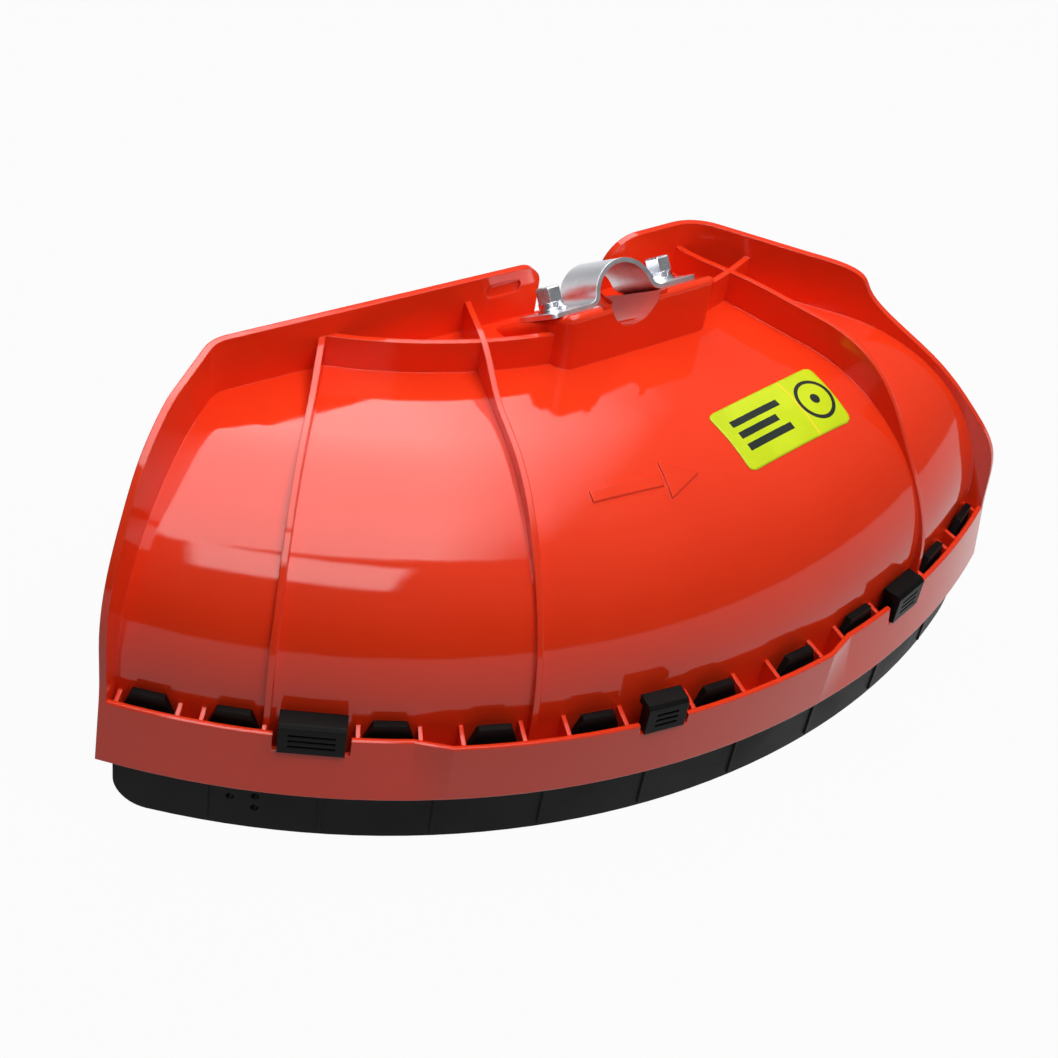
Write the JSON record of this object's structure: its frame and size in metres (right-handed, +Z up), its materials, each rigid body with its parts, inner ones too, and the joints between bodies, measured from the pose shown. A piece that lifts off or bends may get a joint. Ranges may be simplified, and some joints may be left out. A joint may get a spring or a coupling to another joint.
{
  "type": "trimmer guard",
  "caption": "Moulded orange brushcutter guard with upright flange and stiffening ribs, a black clip-on rim skirt, and a steel strap that clamps it to the shaft tube.",
  "frame": {"origin": "middle of the shaft clamp, on the axis of the shaft tube", "axes": "+X across the shaft, +Y towards the cutter head in plan, +Z up, square to the rim of the guard; the shaft tube leans 38 degrees to the rim plane"},
  "size_m": [0.4205, 0.1781, 0.1758],
  "materials": {
    "orange_plastic": "high gloss moulded",
    "black_plastic": "satin moulded",
    "zinc_plate": "bright zinc plate",
    "label_film": "printed vinyl"
  },
  "bodies": {
    "root": {"guard_shield": "orange_plastic", "extension_skirt": "black_plastic", "shaft_clamp": "zinc_plate", "flat_washers": "zinc_plate", "spring_washers": "zinc_plate", "clamp_screws": "zinc_plate", "clamp_nuts": "zinc_plate"}
  },
  "joints": []
}
